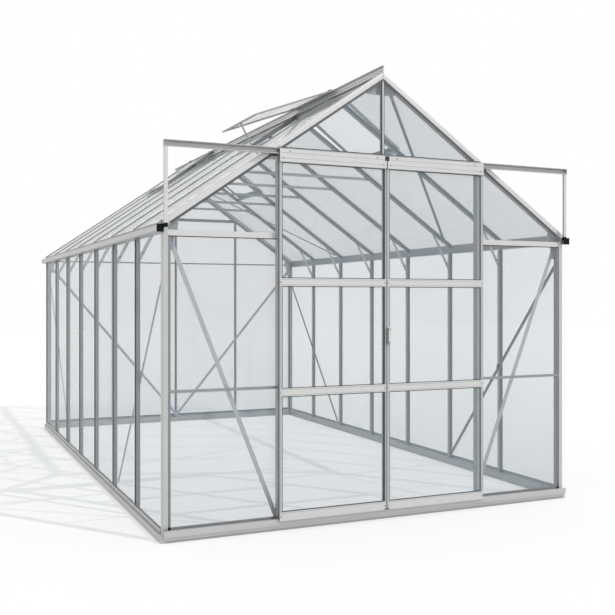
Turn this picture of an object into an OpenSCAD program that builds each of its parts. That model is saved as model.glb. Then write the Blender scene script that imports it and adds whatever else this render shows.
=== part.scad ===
// Aluminium glass greenhouse with double sliding doors, wind braces and four roof vents.
// Origin: centre of the footprint at ground level. +X is to the right of the door,
// +Y runs from the door gable to the rear gable, +Z is up. All sizes in millimetres.

/* [House] */
// Outer width of the ground frame
base_w = 2570; // [2200:10:3000]
// Outer length of the ground frame
base_l = 4370; // [3700:10:5200]
// Height of the roof surface above the side walls
eaves_h = 1640; // [1400:10:1900]
// Pitch of the roof in degrees
pitch = 34.6; // [30:0.2:38]
// Bays along each side wall
side_bays = 7; // [6:1:8]
// Thickness of the glass panes
glass_t = 3; // [2:0.5:4]

/* [Ground frame] */
// Height of the ground frame
base_h = 42; // [36:1:80]
// Depth of the ground frame profile
base_d = 48; // [44:1:60]
// Distance that the walls stand back from the outside of the ground frame
wall_inset = 13; // [8:1:20]
// Height of the sill lip on top of the ground frame
sill_h = 18; // [12:1:30]

/* [Frame profiles] */
// Outer size of the hollow corner edge of posts and verge bars
edge = 30; // [24:1:30]
// Reach of a corner profile along each face
corner_reach = 45; // [44:1:60]
// Depth of the glass seat behind the outer face
seat = 8; // [6:0.5:10]
// Width of the flange of a glazing bar
flange_w = 24; // [18:1:30]
// Width of the outer bead of a glazing bar, between two panes
bead_w = 10; // [6:0.5:12]
// Depth of the web of a glazing bar
web_d = 17; // [17:1:24]
// Width of the foot of a glazing bar
foot_w = 11; // [8:1:11]
// Wall thickness of the thin profiles
skin = 2.5; // [2:0.1:3]
// Width of the flat braces
brace_w = 24; // [12:1:26]

/* [Doors] */
// Clear gap between the closed doors
door_gap = 6; // [5:0.5:10]
// Clear height between the ground frame and the doors
door_lift = 11; // [6:1:15]
// Height of the door track above the eaves
track_rise = 368; // [340:1:368]
// Thickness of the door leaves
door_t = 24; // [20:1:26]
// Width of the door stiles
stile_w = 15; // [14:1:28]
// Height of the two middle rails of a door
mid_rail_h = 41; // [30:1:60]
// Height of the bottom rail of a door
bottom_rail_h = 50; // [40:1:70]

/* [Roof vents] */
// Length of a vent down the slope
vent_l = 566; // [450:2:620]
// Angle between the open front left vent and the roof slope, in degrees
vent_open = 14; // [4:0.5:24]
// Height of the free edges of the other vents above the roof surface
vent_rest = 8; // [4:1:16]
// Width of the vent frame profile
vent_frame_w = 26; // [20:1:32]

/* [Hidden] */
gap = 0.3;                         // fit between pieces that are only seated on each other
run = 5;                           // clearance of moving pieces
eps = 1;                           // how far a cutting solid passes through
bays_wide = 4;

// House plan, with y = 0 at the front face of the ground frame
fx = base_w / 2 - wall_inset;      // outer face of the side walls
fy0 = wall_inset;                  // outer face of the front gable
fy1 = base_l - wall_inset;         // outer face of the rear gable
bay = (fy1 - fy0) / side_bays;     // spacing of the side bars
quarter = 2 * fx / bays_wide;      // spacing of the gable bars
ridge_z = eaves_h + fx * tan(pitch);
slope_l = fx / cos(pitch);

// Glazing bars and corner profiles
corner_w = 24;                     // ends of the ground frame, made as corner pieces
web_t = 3;
foot_t = 3;
inner = seat + skin + web_d + foot_t;  // depth of the inner faces of all bars
sill_t = 3;
floor_z = base_h + sill_t;         // feet of posts and bars
glass_x0 = fx - seat + gap;        // inner face of the side wall glass
bar_edge = bead_w / 2 + gap;       // edge of the glass beside the middle of a bar
brace_t = 2.5;
plate_t = 3;                       // gusset plates and front plates of the door rails

// Gutters and eaves beams
gutter_out = 30;
gutter_floor = eaves_h - 64;
gutter_lip = eaves_h - 26;
beam_z0 = gutter_floor;            // underside of the eaves beam
gutter_end = 10;                   // thickness of the end caps
cap_low = [fx - 2, gutter_floor - 1];  // section of an end cap, a little larger than the trough
cap_high = [fx + gutter_out + 3, gutter_lip + 1];

// Ridge
ridge_web_t = 4;
ridge_web_d = 54;                  // web below the roof surface
ridge_fin_h = 36;                  // fin above the roof surface
ridge_wing = 42;                   // wing over the glass, down the slope

// Door track and doors, in front of the gable
door_y1 = -2;                      // back of the door leaves
door_y0 = door_y1 - door_t;        // front of the door leaves
track_z0 = eaves_h + track_rise;
track_h = 32;
track_d = 22;
door_z0 = base_h + door_lift;
door_top = track_z0 + 30;
door_x0 = door_gap / 2;            // inner edge of a closed door
door_x1 = quarter + 12;            // outer edge of a closed door
strut_w = 20;
strut_z0 = gutter_lip + 6;         // feet of the struts, on the front gutter caps
door_travel = fx - strut_w - run - 4 - door_x1;
top_rail_h = 74;
top_rail_z0 = door_top - top_rail_h;
mid_rails_z = [door_z0 + 685, door_z0 + 1273];  // middle heights of the door rails
mid_web = 4;                       // half the thickness of the web between two panes
bottom_rail_top = door_z0 + bottom_rail_h;
wheel_r = 10;
wheel_w = 6;
wheel_z = track_z0 + skin + 0.5 + wheel_r;
handle_z = door_z0 + 927;
handle_h = 100;
handle_w = 14;
handle_reach = 18;
guide_t = 3;
guide_z0 = base_h - 30;            // face of the door guide on the ground frame
guide_z1 = base_h - 8;
guide_top = door_z0 + 12;          // top of its fin, inside the bottom rails of the doors

// Gable panels
post_x0 = quarter - 8;             // inner face of a door post
post_x1 = post_x0 + 16;            // its outer face, just behind a closed door
lintel_z = track_z0 - 8;
lintel_h = 30;
lintel_end = post_x0 - gap;        // the lintel runs between the door posts
mid_z = base_h + 714;
mid_h = 15;
eaves_rail_z = eaves_h - 81;
eaves_rail_h = 30;

// Vents, hinged on both sides of the ridge fin
vent_bays = [2, side_bays - 1];
hinge_x = 8;
hinge_up = 28;                     // hinge line above the ridge
hinge_u = hinge_x * cos(pitch) - hinge_up * sin(pitch);  // down the slope
hinge_w = hinge_x * sin(pitch) + hinge_up * cos(pitch);  // out of the slope
vent_frame_t = 9;
vent_sill_u = hinge_u + vent_l - 14;
vent_sill_l = 24;
vent_w = bay - 4;
stay_w = 11;
stay_t = 3;

// The plan is centred on the whole length, from the door handle to the rear gutter caps
y_front = door_y0 - handle_reach;
y_rear = base_l + gutter_end;
mid_y = (y_front + y_rear) / 2;

// ---------- helpers ----------

// Height of a plane that lies `inset` under the roof surface, at distance x from the ridge
function roof_z(x, inset = 0) = ridge_z - abs(x) * tan(pitch) - inset / cos(pitch);

module centred() {
  translate([0, -mid_y, 0]) children();
}

module both_sides() {
  children();
  mirror([1, 0, 0]) children();
}

// From the front gable to the rear gable
module both_ends() {
  children();
  translate([0, base_l, 0]) mirror([0, 1, 0]) children();
}

// Frame of a roof slope: x runs down the slope, y along the house, z out of the roof
module on_slope(side = 1) {
  mirror([side < 0 ? 1 : 0, 0, 0])
    translate([0, 0, ridge_z]) rotate([0, pitch, 0]) children();
}

// Box between two corners
module block(p, q) {
  translate(p) cube(q - p);
}

// Flat bar in the XZ plane from p to q, of thickness t from y = 0
module flat_bar(p, q, w, t) {
  translate([p[0], 0, p[1]]) rotate([0, -atan2(q[1] - p[1], q[0] - p[0]), 0])
    translate([0, 0, -w / 2]) cube([norm(q - p), t, w]);
}

// Flat bar in the XY plane from p to q, of thickness t from z = 0
module plan_bar(p, q, w, t) {
  translate([p[0], p[1], 0]) rotate([0, 0, atan2(q[1] - p[1], q[0] - p[0])])
    translate([0, -w / 2, 0]) cube([norm(q - p), w, t]);
}

// Outline in the XZ plane, of thickness t from y = 0
module upright_plate(points, t) {
  rotate([90, 0, 0]) mirror([0, 0, 1]) linear_extrude(t) polygon(points);
}

// Section of a glazing bar: x across, y out of the glass seat
module bar_section() {
  web_y = -skin - web_d;
  foot_y = web_y - foot_t;
  half = web_t / 2;
  polygon([
    [-bead_w / 2, 0], [-bead_w / 2, seat - 1], [bead_w / 2, seat - 1], [bead_w / 2, 0],
    [flange_w / 2, 0], [flange_w / 2, -skin], [half, -skin], [half, web_y],
    [foot_w / 2, web_y], [foot_w / 2, foot_y], [-foot_w / 2, foot_y], [-foot_w / 2, web_y],
    [-half, web_y], [-half, -skin], [-flange_w / 2, -skin], [-flange_w / 2, 0]
  ]);
}

// Square with a rounded outer corner at the origin
module rounded_corner(size, r) {
  difference() {
    square(size);
    difference() {
      translate([-eps, -eps]) square(r + eps);
      translate([r, r]) circle(r, $fn = 48);
    }
  }
}

// Hollow edge of a corner profile, its outer corner at the origin
module edge_section() {
  difference() {
    rounded_corner(edge, 9);
    translate([skin, skin]) square(edge - 2 * skin);
  }
}

// Legs of a corner profile: a glass seat along both faces, each with a web and a foot
module leg_section() {
  web_x = corner_reach - (foot_w + skin) / 2;
  for (flip = [0, 1]) mirror([flip, -flip]) {
    translate([edge, seat]) square([web_x + skin - edge, skin]);
    translate([web_x, seat]) square([skin, skin + web_d]);
    translate([corner_reach - foot_w, inner - foot_t]) square([foot_w, foot_t]);
  }
}

// Upright glazing bar with its glass seat on y = 0 and its bead towards -y
module upright_bar(h) {
  linear_extrude(h) mirror([0, 1]) bar_section();
}

// Place for something drawn on the XZ plane, on the inner faces of the right wall's bars:
// x runs along the house and y into it
module on_right_wall() {
  translate([fx - inner, 0, 0]) rotate([0, 0, 90]) children();
}

// Everything lower than a plane that lies `inset` under the roof surface
module under_roof(inset, z0 = 0) {
  reach = fx + 100;
  translate([0, base_l + 500, 0]) rotate([90, 0, 0]) linear_extrude(base_l + 1000)
    polygon([
      [-reach, z0], [reach, z0], [reach, roof_z(reach, inset)],
      [0, roof_z(0, inset)], [-reach, roof_z(reach, inset)]
    ]);
}

// ---------- ground frame ----------

// Hollow profile of length l along x, with its outer face on y = 0
module base_rail(l) {
  rotate([90, 0, 90]) linear_extrude(l) difference() {
    square([base_d, base_h]);
    translate([skin, skin]) square([base_d - 2 * skin, base_h - 2 * skin]);
  }
}

module base_frame() color("silver") centred() {
  both_ends() translate([-base_w / 2 + corner_w, 0, 0]) base_rail(base_w - 2 * corner_w);
  both_sides() translate([base_w / 2, base_d, 0]) rotate([0, 0, 90]) base_rail(base_l - 2 * base_d);
}

module base_corners() color("gainsboro") centred() both_ends() both_sides()
  translate([-base_w / 2, 0, 0]) linear_extrude(base_h) intersection() {
    rounded_corner(base_d, 14);
    square([corner_w, base_d]);
  }

// Sill of length l along x, with the outer face of its wall on y = 0
module sill(l) {
  lip_out = 1.5;
  lip_in = 0.7;
  rotate([90, 0, 90]) linear_extrude(l) polygon([
    [-lip_out, 0], [inner, 0], [inner, sill_t], [lip_in, sill_t],
    [lip_in, sill_h], [-lip_out, sill_h]
  ]);
}

module wall_sills() color("white") centred() translate([0, 0, base_h]) {
  corner_end = corner_reach + gap;
  post_end = post_x1 + gap;
  both_sides() {
    translate([fx, fy0 + corner_end, 0]) rotate([0, 0, 90]) sill(fy1 - fy0 - 2 * corner_end);
    translate([post_end, fy0, 0]) sill(fx - corner_end - post_end);
  }
  translate([-fx + corner_end, fy1, 0]) mirror([0, 1, 0]) sill(2 * (fx - corner_end));
}

// ---------- posts and bars ----------

// The hollow edge runs up to the verge bar, the legs only to the eaves beam
module corner_posts() color("silver") centred() both_ends() both_sides() {
  intersection() {
    translate([-fx, fy0, base_h]) linear_extrude(ridge_z) edge_section();
    under_roof(edge + gap);
  }
  translate([-fx, fy0, base_h]) linear_extrude(beam_z0 - base_h) leg_section();
}

module door_posts() color("silver") centred() intersection() {
  both_sides() translate([post_x0, fy0, base_h]) linear_extrude(ridge_z) difference() {
    square([post_x1 - post_x0, inner]);
    translate([skin, skin]) square([post_x1 - post_x0 - 2 * skin, inner - 2 * skin]);
  }
  under_roof(corner_reach + gap);
}

module wall_bars() color("silver") centred() both_sides()
  for (k = [1 : side_bays - 1])
    translate([-fx + seat, fy0 + k * bay, floor_z]) rotate([0, 0, -90]) upright_bar(beam_z0 - floor_z);

// One bar over the door lintel and three in the rear gable
module gable_bars() color("silver") centred() intersection() {
  union() {
    translate([0, fy0 + seat, lintel_z + lintel_h]) upright_bar(ridge_z);
    for (k = [-1 : 1])
      translate([k * quarter, fy1 - seat, floor_z]) mirror([0, 1, 0]) upright_bar(ridge_z);
  }
  under_roof(corner_reach + gap);
}

// Lintel over the doorway, eaves rails of the front side panels and rails across the rear gable
module gable_rails() color("silver") centred() {
  intersection() {
    block([-lintel_end, fy0, lintel_z], [lintel_end, fy0 + 20, lintel_z + lintel_h]);
    under_roof(corner_reach + gap);
  }
  both_sides() panel_rail(eaves_rail_z, eaves_rail_h);
  rear_y = fy1 - seat - skin;
  half = web_t / 2;
  thin = [eaves_h - 50, 12];
  thick = [eaves_h + 385, 30];
  reach = fx - corner_reach - gap;
  rails = [[half, quarter - half, thin], [quarter + half, reach, thin], [half, quarter - half, thick]];
  both_sides() for (rail = rails) intersection() {
    block([rail[0], rear_y - 3, rail[2][0]], [rail[1], rear_y, rail[2][0] + rail[2][1]]);
    under_roof(corner_reach + gap);
  }
}

// Rail between the right door post and the corner post, behind the joint of two panes
module panel_rail(z, h) {
  block([post_x1, fy0 + 1, z], [fx - edge, fy0 + seat, z + h]);
}

module panel_rails() color("silver") centred() both_sides() panel_rail(mid_z, mid_h);

// ---------- eaves and roof ----------

// Eaves beam with its gutter, for the right side
module gutter() {
  web_x = fx - seat;
  trough = [
    [fx, gutter_floor], [fx + gutter_out, gutter_floor], [fx + gutter_out, gutter_lip],
    [fx + gutter_out - skin, gutter_lip], [fx + gutter_out - skin, gutter_floor + skin],
    [fx + skin, gutter_floor + skin], [fx + skin, gutter_lip - 6], [fx, gutter_lip - 6]
  ];
  beam = [
    [fx - inner, beam_z0], [fx, beam_z0], [fx, gutter_floor + skin], [web_x, gutter_floor + skin],
    [web_x, roof_z(web_x, seat)], [web_x - skin, roof_z(web_x - skin, seat)],
    [web_x - skin, beam_z0 + skin], [fx - inner, beam_z0 + skin]
  ];
  upright_plate(trough, base_l);
  translate([0, fy0 + edge + gap, 0]) upright_plate(beam, fy1 - fy0 - 2 * (edge + gap));
}

module gutter_left() color("gainsboro") centred() mirror([1, 0, 0]) gutter();

module gutter_right() color("gainsboro") centred() gutter();

// Plastic caps on the front ends of the gutters, reaching forward under the struts of the track
module gutter_caps_front() color("black") centred() both_sides() {
  arm_z = cap_high[1] - 16;
  block([cap_low[0], -gutter_end, cap_low[1]], [cap_high[0], 0, cap_high[1]]);
  block([fx - strut_w, -gutter_end, arm_z], [fx, 0, cap_high[1]]);
  block([fx - strut_w, door_y0 + 4, arm_z], [fx, -gutter_end, strut_z0]);
}

module gutter_caps_rear() color("gainsboro") centred() both_sides()
  block([cap_low[0], base_l, cap_low[1]], [cap_high[0], y_rear, cap_high[1]]);

// Corner profiles laid in the edges between the roof slopes and the gables
module verge_bars() color("gainsboro") centred() both_ends() both_sides() {
  web_face = ridge_web_t / 2;
  intersection() {
    verge_profile() edge_section();
    block([web_face, 0, 0], [fx, base_l, 2 * ridge_z]);
  }
  intersection() {
    verge_profile() leg_section();
    union() {
      block([web_face, 0, 0], [fx - edge - gap, base_l, 2 * ridge_z]);
      intersection() {
        block([web_face, fy0 + edge, 0], [fx - seat - skin, base_l, 2 * ridge_z]);
        on_slope() block([0, 0, -inner], [2 * slope_l, base_l, 0]);
      }
    }
  }
}

// Section run down the right slope, its corner on the verge line
module verge_profile() {
  on_slope() translate([-ridge_web_d, fy0, 0]) rotate([0, 90, 0])
    linear_extrude(slope_l + 2 * ridge_web_d) children();
}

// Rafters between the ridge and the eaves beams
module roof_bars() color("silver") centred() both_sides() intersection() {
  on_slope() for (k = [1 : side_bays - 1])
    translate([-ridge_web_d, fy0 + k * bay, -seat]) rotate([90, 0, 90])
      linear_extrude(slope_l + 2 * ridge_web_d) bar_section();
  block([ridge_web_t / 2, 0, 0], [fx - seat - skin, base_l, 2 * ridge_z]);
}

// A web between the slopes with an upstanding fin, a ledge that carries the hinges of the
// vents, and a wing over the top of the glass
module ridge_bar() color("gainsboro") centred() {
  half = ridge_web_t / 2;
  flange_t = 3;
  block([-half, fy0, ridge_z - ridge_web_d], [half, fy1, ridge_z + ridge_fin_h]);
  for (top = [ridge_z + hinge_up - gap, ridge_z + ridge_fin_h])
    block([-hinge_x, fy0, top - flange_t], [hinge_x, fy1, top]);
  wing_end = fy0 + edge + gap;
  both_sides() on_slope() block([0, wing_end, -0.7], [ridge_wing, base_l - wing_end, 1.8]);
}

// Horizontal ties between opposite rafters
module collar_ties() color("silver") centred() intersection() {
  tie_z = ridge_z - 432;
  for (k = [1 : side_bays - 1])
    block([-fx, fy0 + k * bay - 1.5, tie_z], [fx, fy0 + k * bay + 1.5, tie_z + 20]);
  under_roof(inner + gap);
}

// Short struts between each wall bar and its rafter
module knee_brackets() color("silver") centred() both_sides() intersection() {
  for (k = [1 : side_bays - 1])
    translate([0, fy0 + k * bay - 1.5, 0])
      flat_bar([fx - 20, eaves_h - 195], [fx - 190, eaves_h + 130], 20, 3);
  block([0, 0, 0], [fx - inner, base_l, ridge_z]);
  under_roof(inner + gap);
}

// ---------- braces and plates ----------

// In each side wall, from the top of the end posts down to the second bar from each end
module wall_braces() color("silver") centred() both_ends() both_sides() on_right_wall() {
  top = [fy0 + corner_reach - foot_w / 2, eaves_h - 200];
  flat_bar(top, [fy0 + 2 * bay - 40, floor_z + 40], brace_w, brace_t);
}

// In the front side panels and across the rear gable
module gable_braces() color("silver") centred() {
  top = [fx - 58, eaves_h - 120];
  plane = inner + plate_t;
  both_sides() {
    translate([0, fy0 + plane, 0]) flat_bar(top, [post_x1 - 4, floor_z + 22], brace_w, brace_t);
    translate([0, fy1 - plane - brace_t, 0]) flat_bar(top, [14, floor_z + 40], brace_w, brace_t);
  }
}

// Under each slope, from the apex of each gable down to the second rafter
module roof_braces() color("silver") centred() both_ends() both_sides() on_slope() {
  head_y = fy0 + inner + plate_t + brace_w / 2 + 4;  // clear of the apex plates
  translate([0, 0, -inner - brace_t - gap])
    plan_bar([95, head_y], [slope_l - 60, fy0 + 2 * bay - 12], brace_w, brace_t);
}

// Plates on the inner faces of the gable frames: at the eaves, the apex and the brace feet
module gusset_plates() color("gray") centred() {
  low = eaves_h - 155;
  x0 = fx - inner - gap;
  under = 14;
  eaves_plate = [
    [x0, low], [x0, roof_z(x0, under)], [x0 - 64, roof_z(x0 - 64, under)],
    [x0 - 58, eaves_h - 50], [x0 - 40, eaves_h - 85], [x0 - 36, low]
  ];
  apex_plate = [
    [-110, roof_z(110, under)], [-8, roof_z(8, under)], [-8, ridge_z - ridge_web_d - gap],
    [8, ridge_z - ridge_web_d - gap], [8, roof_z(8, under)], [110, roof_z(110, under)],
    [85, ridge_z - 125], [-85, ridge_z - 125]
  ];
  both_ends() translate([0, fy0 + inner, 0]) {
    both_sides() upright_plate(eaves_plate, plate_t);
    upright_plate(apex_plate, plate_t);
  }
  foot_z = floor_z + 10;
  plate_y = fy0 + inner;
  both_sides() block([post_x0, plate_y, foot_z], [post_x1, plate_y + plate_t, foot_z + 36]);
  block([-22, fy1 - inner - plate_t, foot_z], [22, fy1 - inner, foot_z + 50]);
}

// ---------- door track ----------

// Packer between the gable and the track, over the doorway
module door_header() color("gainsboro") centred()
  block([-door_x1, door_y0 + track_d, track_z0], [door_x1, fy0, track_z0 + track_h]);

// Channel that opens to the front; the door wheels run in it
module door_track() color("silver") centred() {
  lip = 3;
  translate([-fx, door_y0, track_z0]) rotate([90, 0, 90]) linear_extrude(2 * fx) polygon([
    [0, 0], [track_d, 0], [track_d, track_h], [0, track_h], [0, track_h - skin - lip],
    [skin, track_h - skin - lip], [skin, track_h - skin], [track_d - skin, track_h - skin],
    [track_d - skin, skin], [skin, skin], [skin, skin + lip], [0, skin + lip]
  ]);
}

// Uprights between the gutter ends and the ends of the track
module track_struts() color("gainsboro") centred() both_sides()
  block([fx - strut_w, door_y0 + 4, strut_z0], [fx, -gutter_end, track_z0]);

// Rail on the front of the ground frame, its fin standing in the bottom rails of the doors
module door_guide() color("gainsboro") centred() {
  fin_y = (door_y0 + door_y1 - guide_t) / 2;
  translate([-fx, 0, 0]) rotate([90, 0, 90]) linear_extrude(2 * fx) polygon([
    [0, guide_z0], [0, guide_z1], [fin_y + guide_t, guide_z1], [fin_y + guide_t, guide_top],
    [fin_y, guide_top], [fin_y, guide_z1 - guide_t], [-guide_t, guide_z1 - guide_t], [-guide_t, guide_z0]
  ]);
}

// ---------- glass ----------

// Edges of the panes along the house: between the corner edges and the beads
function pane_start(k) = fy0 + (k == 1 ? edge : (k - 1) * bay + bead_w / 2) + gap;
function pane_end(k) = (k == side_bays ? fy1 - edge : fy0 + k * bay - bead_w / 2) - gap;

module wall_panes() {
  for (k = [1 : side_bays])
    block([glass_x0, pane_start(k), floor_z + gap], [glass_x0 + glass_t, pane_end(k), beam_z0 - gap]);
}

module left_wall_glass() color("lightblue", 0.3) centred() mirror([1, 0, 0]) wall_panes();

module right_wall_glass() color("lightblue", 0.3) centred() wall_panes();

// Panes of the right half of a gable, between the given x, above z0 and under the verge bar
module gable_pane(x0, x1, z0, z1 = ridge_z) {
  intersection() {
    block([x0, fy0 + seat - gap - glass_t, z0], [x1, fy0 + seat - gap, z1]);
    under_roof(edge + gap);
  }
}

module rear_gable_glass() color("lightblue", 0.3) centred()
  translate([0, base_l, 0]) mirror([0, 1, 0]) both_sides() {
    gable_pane(bar_edge, quarter - bar_edge, floor_z + gap);
    gable_pane(quarter + bar_edge, fx - edge - gap, floor_z + gap);
  }

module front_gable_glass() color("lightblue", 0.3) centred() both_sides() {
  gable_pane(bar_edge, lintel_end, lintel_z + lintel_h + gap);
  gable_pane(post_x1 + gap, fx - edge - gap, eaves_rail_z + eaves_rail_h + gap);
  gable_pane(post_x1 + gap, fx - edge - gap, mid_z + mid_h + gap, eaves_rail_z - gap);
  gable_pane(post_x1 + gap, fx - edge - gap, floor_z + gap, mid_z - gap);
}

function is_vent(k) = len([for (v = vent_bays) if (v == k) v]) > 0;

module roof_panes() on_slope()
  for (k = [1 : side_bays])
    block(
      [is_vent(k) ? vent_sill_u + vent_sill_l + gap : 9, pane_start(k), -seat + gap],
      [slope_l + 15, pane_end(k), -seat + gap + glass_t]
    );

module roof_glass_left() color("lightblue", 0.3) centred() mirror([1, 0, 0]) roof_panes();

module roof_glass_right() color("lightblue", 0.3) centred() roof_panes();

// ---------- roof vents ----------

// The front left vent stands open, the others rest just above their sills
function vent_angle(side, k) =
  side < 0 && k == vent_bays[0] ? vent_open : -atan2(hinge_w - vent_rest, vent_l);

// Frame of a vent: x runs down the leaf from the hinge, y along the house, z out of the leaf
module at_vent(side, k) {
  on_slope(side) translate([hinge_u, fy0 + (k - 1) * bay + 2, hinge_w])
    rotate([0, -vent_angle(side, k), 0]) children();
}

module each_vent() for (side = [-1, 1], k = vent_bays) {
  $side = side;
  $bay = k;
  children();
}

module vent_frames() color("gainsboro") centred() each_vent() at_vent($side, $bay) difference() {
  cube([vent_l, vent_w, vent_frame_t]);
  translate([vent_frame_w, vent_frame_w, -eps])
    cube([vent_l - 2 * vent_frame_w, vent_w - 2 * vent_frame_w, vent_frame_t + 2 * eps]);
}

module vent_glass() color("lightblue", 0.3) centred() each_vent() at_vent($side, $bay)
  translate([vent_frame_w + gap, vent_frame_w + gap, (vent_frame_t - glass_t) / 2])
    cube([vent_l - 2 * (vent_frame_w + gap), vent_w - 2 * (vent_frame_w + gap), glass_t]);

// Cross rail between two rafters, under the free edge of a vent
module vent_sills() color("gainsboro") centred() each_vent() on_slope($side)
  block(
    [vent_sill_u, pane_start($bay), -seat + gap],
    [vent_sill_u + vent_sill_l, pane_end($bay), -1.2]
  );

// Underside of a vent above the roof surface, at distance u from the ridge
function vent_under(u, angle) = hinge_w + (u - hinge_u) * tan(angle) - gap;

// Stay: a link from the sill up to the free edge, and an arm that hangs inside
module vent_stays() color("dimgray") centred() each_vent() {
  angle = vent_angle($side, $bay);
  head = hinge_u + (vent_l - vent_frame_w + stay_w / 2) * cos(angle);
  foot = vent_sill_u - gap;
  left = head - stay_w / 2;
  right = head + stay_w / 2;
  on_slope($side) translate([0, fy0 + ($bay - 0.5) * bay, 0]) upright_plate([
    [foot, -18], [foot, 0],
    [right, vent_under(right, angle)], [left, vent_under(left, angle)],
    [foot - stay_w, -6], [foot - 130, -68], [foot - 130, -80]
  ], stay_t);
}

// ---------- doors, drawn for the right leaf ----------

module right_door() color("silver") centred() children();

module left_door() color("silver") centred() mirror([1, 0, 0]) children();

module door_stiles() {
  for (x = [door_x0, door_x1 - stile_w])
    translate([x, door_y0, bottom_rail_top]) linear_extrude(top_rail_z0 - bottom_rail_top) difference() {
      square([stile_w, door_t]);
      translate([skin, skin]) square([stile_w - 2 * skin, door_t - 2 * skin]);
    }
}

// Section in the YZ plane drawn from x0 to x1
module door_profile(points, x0, x1) {
  translate([x0, 0, 0]) rotate([90, 0, 90]) linear_extrude(x1 - x0) polygon(points);
}

module door_rails() {
  front = door_y0 - plate_t;
  fascia = front - run;
  track_under = track_z0 - 8;
  door_profile([                   // top rail, its fascia in front of the track
    [fascia, top_rail_z0], [door_y1, top_rail_z0], [door_y1, track_under], [door_y1 - skin, track_under],
    [door_y1 - skin, top_rail_z0 + skin], [fascia + plate_t, top_rail_z0 + skin],
    [fascia + plate_t, door_top], [fascia, door_top]
  ], door_x0, door_x1);
  for (z = mid_rails_z) {
    block([door_x0, front, z - mid_rail_h / 2], [door_x1, door_y0, z + mid_rail_h / 2]);
    block([door_x0 + stile_w, door_y0, z - mid_web], [door_x1 - stile_w, door_y1, z + mid_web]);
    block([door_x0 + stile_w, door_y1 - skin, z - 12], [door_x1 - stile_w, door_y1, z + 12]);
  }
  door_profile([                   // bottom rail, open below over the guide
    [front, door_z0], [door_y0, door_z0], [door_y0, bottom_rail_top - skin],
    [door_y1 - skin, bottom_rail_top - skin], [door_y1 - skin, door_z0], [door_y1, door_z0],
    [door_y1, bottom_rail_top], [front, bottom_rail_top]
  ], door_x0, door_x1);
}

module door_panes() {
  levels = [bottom_rail_top, mid_rails_z[0] - mid_web, mid_rails_z[0] + mid_web,
    mid_rails_z[1] - mid_web, mid_rails_z[1] + mid_web, top_rail_z0];
  pane_y = door_y0 + 4;
  for (i = [0 : 2])
    block(
      [door_x0 + stile_w + gap, pane_y, levels[2 * i] + gap],
      [door_x1 - stile_w - gap, pane_y + glass_t, levels[2 * i + 1] - gap]
    );
}

// Wheels in the track, their axles fixed to the fascia of the top rail
module door_rollers() {
  wheel_y = door_y0 + skin + 5.5;
  fascia_back = door_y0 - run;
  for (x = [door_x0 + 70, door_x1 - 70])
    translate([x, 0, wheel_z]) rotate([-90, 0, 0]) {
      translate([0, 0, wheel_y]) cylinder(wheel_w, r = wheel_r, $fn = 48);
      translate([0, 0, fascia_back]) cylinder(wheel_y - fascia_back + eps, d = 6, $fn = 24);
    }
}

module door_right_handle() color("gainsboro") centred() {
  x0 = door_x0 + stile_w - handle_w;
  slant = 8;
  translate([x0, 0, 0]) rotate([90, 0, 90]) linear_extrude(handle_w) polygon([
    [door_y0, handle_z], [door_y0, handle_z + handle_h],
    [door_y0 - handle_reach, handle_z + handle_h - slant], [door_y0 - handle_reach, handle_z + slant]
  ]);
}

module door_left_stiles() left_door() door_stiles();
module door_left_rails() left_door() door_rails();
module door_left_glass() left_door() door_panes();
module door_left_rollers() left_door() door_rollers();
module door_right_stiles() right_door() door_stiles();
module door_right_rails() right_door() door_rails();
module door_right_glass() right_door() door_panes();
module door_right_rollers() right_door() door_rollers();

base_frame();
base_corners();
wall_sills();
corner_posts();
door_posts();
wall_bars();
gable_bars();
gable_rails();
panel_rails();
gutter_left();
gutter_right();
gutter_caps_front();
gutter_caps_rear();
verge_bars();
roof_bars();
ridge_bar();
collar_ties();
knee_brackets();
wall_braces();
gable_braces();
roof_braces();
gusset_plates();
door_header();
door_track();
track_struts();
door_guide();
left_wall_glass();
right_wall_glass();
rear_gable_glass();
front_gable_glass();
roof_glass_left();
roof_glass_right();
vent_frames();
vent_glass();
vent_sills();
vent_stays();
door_left_stiles();
door_left_rails();
door_left_glass();
door_left_rollers();
door_right_stiles();
door_right_rails();
door_right_glass();
door_right_handle();
door_right_rollers();
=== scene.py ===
"""Finishes and small fittings of an aluminium glass greenhouse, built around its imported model."""

import math

import bpy
from mathutils import Matrix, Vector


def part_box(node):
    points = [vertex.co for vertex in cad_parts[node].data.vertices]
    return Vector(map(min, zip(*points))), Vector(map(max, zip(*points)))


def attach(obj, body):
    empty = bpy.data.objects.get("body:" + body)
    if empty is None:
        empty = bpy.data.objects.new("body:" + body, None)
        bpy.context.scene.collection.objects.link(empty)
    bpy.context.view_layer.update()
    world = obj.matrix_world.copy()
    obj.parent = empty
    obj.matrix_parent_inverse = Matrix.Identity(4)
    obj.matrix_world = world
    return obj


bl_info = {
    "name": "Glass Greenhouse",
    "version": (1, 0, 0),
    "blender": (4, 5, 0),
    "location": "View3D > Sidebar > Greenhouse",
    "description": "Finishes, seals, fasteners and vent fittings of a glass greenhouse with sliding doors",
    "category": "Object",
}

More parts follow.
